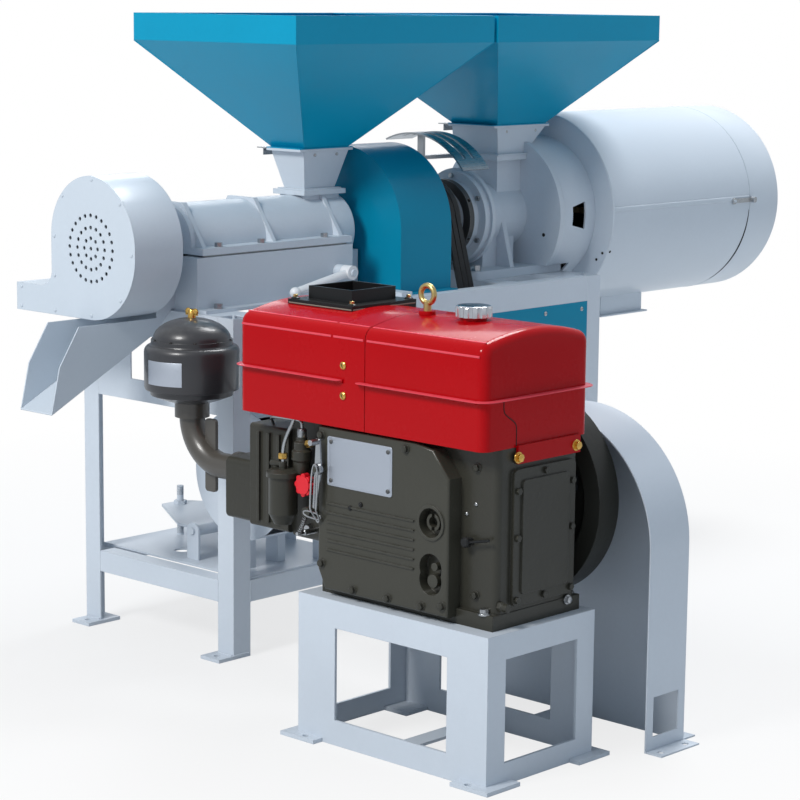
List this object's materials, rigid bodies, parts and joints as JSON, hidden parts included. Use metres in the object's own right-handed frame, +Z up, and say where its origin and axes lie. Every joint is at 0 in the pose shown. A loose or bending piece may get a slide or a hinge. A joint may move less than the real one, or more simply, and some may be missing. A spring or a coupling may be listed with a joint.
{
  "type": "corn peeling machine",
  "caption": "Maize peeling and milling machine on an angle-iron frame: two hoppers, peeler with fan, grinding mill with round sieve drum, belt driven by a water-cooled engine on its own stand.",
  "frame": {"origin": "on the floor at the centre of the four anchor holes of the machine frame", "axes": "+X along the machine shafts from the fan to the sieve drum; +Y away from the engine, to the back; +Z up"},
  "size_m": [2.455, 1.668, 1.446],
  "materials": {
    "frame_grey": "pale grey enamel on steel angle",
    "machine_grey": "pale blue-grey enamel on sheet and castings",
    "hopper_blue": "sea-blue enamel on sheet steel",
    "guard_blue": "deep sea-blue enamel on sheet steel",
    "engine_olive": "dark olive enamel on castings",
    "hood_red": "glossy red enamel on pressed sheet",
    "black_metal": "semi-gloss black enamel",
    "cast_iron": "machined grey cast iron",
    "bright_steel": "turned steel",
    "zinc_steel": "zinc plated with a yellow tint",
    "chrome_cap": "bright plated",
    "belt_rubber": "matt black rubber and cord",
    "knob_red": "red moulded plastic",
    "lever_white": "white enamel on tube",
    "brush_fibre": "dark bristle on steel arms"
  },
  "bodies": {
    "machine": {"frame_legs": "frame_grey", "frame_rails": "frame_grey", "lower_shelf": "frame_grey", "end_panel": "frame_grey", "front_panel": "guard_blue", "shaft_bearings": "machine_grey", "peeler_casing": "machine_grey", "peeler_barrel": "machine_grey", "peeler_screen": "bright_steel", "peeler_hopper": "hopper_blue", "mill_hopper": "hopper_blue", "hopper_necks": "machine_grey", "fan_volute": "machine_grey", "fan_cover": "machine_grey", "discharge_chute": "machine_grey", "pulley_guard": "hopper_blue", "mill_body": "machine_grey", "mill_bearing_cap": "machine_grey", "mill_belt_cover": "bright_steel", "vent_ring": "machine_grey", "sieve_drum": "machine_grey", "sieve_screen": "bright_steel", "drive_belts": "belt_rubber", "engine_stand": "black_metal", "crankcase": "engine_olive", "gear_cover": "engine_olive", "cylinder_head": "engine_olive", "water_tank": "hood_red", "fuel_tank": "hood_red", "water_frame": "black_metal", "lifting_eye": "zinc_steel", "air_filter": "black_metal", "intake_pipe": "black_metal", "fuel_filter": "bright_steel", "flywheel_guard": "guard_blue", "countershaft_guard": "guard_blue", "fasteners": "bright_steel"},
    "crank": {"crankshaft": "bright_steel", "flywheel": "cast_iron", "engine_pulley": "cast_iron"},
    "countershaft_rotor": {"countershaft": "bright_steel", "countershaft_pulleys": "cast_iron"},
    "peeler_rotor": {"peeler_shaft": "bright_steel", "peeling_roller": "cast_iron", "peeler_pulley": "cast_iron", "fan_impeller": "machine_grey"},
    "mill_rotor": {"mill_shaft": "bright_steel", "grinding_cone": "cast_iron", "mill_pulley": "cast_iron", "sieve_brushes": "brush_fibre"},
    "adjusting_ring_body": {"adjusting_ring": "cast_iron"},
    "peeler_gate_body": {"peeler_gate": "bright_steel"},
    "mill_gate_body": {"mill_gate": "bright_steel"},
    "drum_door_body": {"drum_door": "machine_grey"},
    "door_latch_body": {"door_latch": "bright_steel"},
    "tension_plate_body": {"tension_plate": "frame_grey"},
    "fuel_cap_body": {"fuel_cap": "chrome_cap"},
    "control_knob_body": {"control_knob": "knob_red"},
    "speed_lever_body": {"speed_lever": "black_metal"},
    "pressure_lever_body": {"pressure_lever": "lever_white"}
  },
  "joints": [
    {"name": "crank_spin", "type": "hinge", "parent": "machine", "child": "crank", "pos_m": [-0.57, -1.055, 0.5], "axis": [1, 0, 0], "continuous": true},
    {"name": "countershaft_spin", "type": "hinge", "parent": "machine", "child": "countershaft_rotor", "pos_m": [-0.48, -0.17, 0.4], "axis": [1, 0, 0], "continuous": true},
    {"name": "peeler_spin", "type": "hinge", "parent": "machine", "child": "peeler_rotor", "pos_m": [0.045, 0, 0.93], "axis": [1, 0, 0], "continuous": true},
    {"name": "mill_spin", "type": "hinge", "parent": "machine", "child": "mill_rotor", "pos_m": [0.25, 0, 0.93], "axis": [1, 0, 0], "continuous": true},
    {"name": "adjusting_ring_turn", "type": "hinge", "parent": "machine", "child": "adjusting_ring_body", "pos_m": [0.3265, 0, 0.93], "axis": [1, 0, 0], "range_deg": [-90, 90]},
    {"name": "peeler_gate_slide", "type": "slide", "parent": "machine", "child": "peeler_gate_body", "axis": [0, 1, 0], "range_m": [0, 0.1]},
    {"name": "mill_gate_slide", "type": "slide", "parent": "machine", "child": "mill_gate_body", "axis": [0, 1, 0], "range_m": [0, 0.14]},
    {"name": "drum_door_swing", "type": "hinge", "parent": "machine", "child": "drum_door_body", "pos_m": [1.312, 0.27, 0.93], "axis": [0, 0, 1], "range_deg": [0, 110]},
    {"name": "door_latch_turn", "type": "hinge", "parent": "machine", "child": "door_latch_body", "pos_m": [1.23, -0.2628, 0.94], "axis": [0, -1, 0], "range_deg": [0, 95]},
    {"name": "tension_plate_tilt", "type": "hinge", "parent": "machine", "child": "tension_plate_body", "pos_m": [-0.41, -0.03, 0.25], "axis": [1, 0, 0], "range_deg": [-1.5, 3]},
    {"name": "fuel_cap_turn", "type": "hinge", "parent": "machine", "child": "fuel_cap_body", "pos_m": [-0.785, -1.091, 0.89], "axis": [0, 0, 1], "range_deg": [0, 90]},
    {"name": "control_knob_turn", "type": "hinge", "parent": "machine", "child": "control_knob_body", "pos_m": [-0.9, -0.75, 0.514], "axis": [1, 0, 0], "range_deg": [-150, 150]},
    {"name": "speed_lever_swing", "type": "hinge", "parent": "machine", "child": "speed_lever_body", "pos_m": [-0.937, -0.818, 0.56], "axis": [1, 0, 0], "range_deg": [-20, 20]},
    {"name": "pressure_lever_swing", "type": "hinge", "parent": "machine", "child": "pressure_lever_body", "pos_m": [-0.19, -0.167, 0.842], "axis": [0, 1, 0], "range_deg": [0, 35]}
  ],
  "couplings": [
    {"joint": "countershaft_spin", "follows": "crank_spin", "ratio": 0.625},
    {"joint": "peeler_spin", "follows": "crank_spin", "ratio": 0.29167},
    {"joint": "mill_spin", "follows": "crank_spin", "ratio": 0.5}
  ]
}
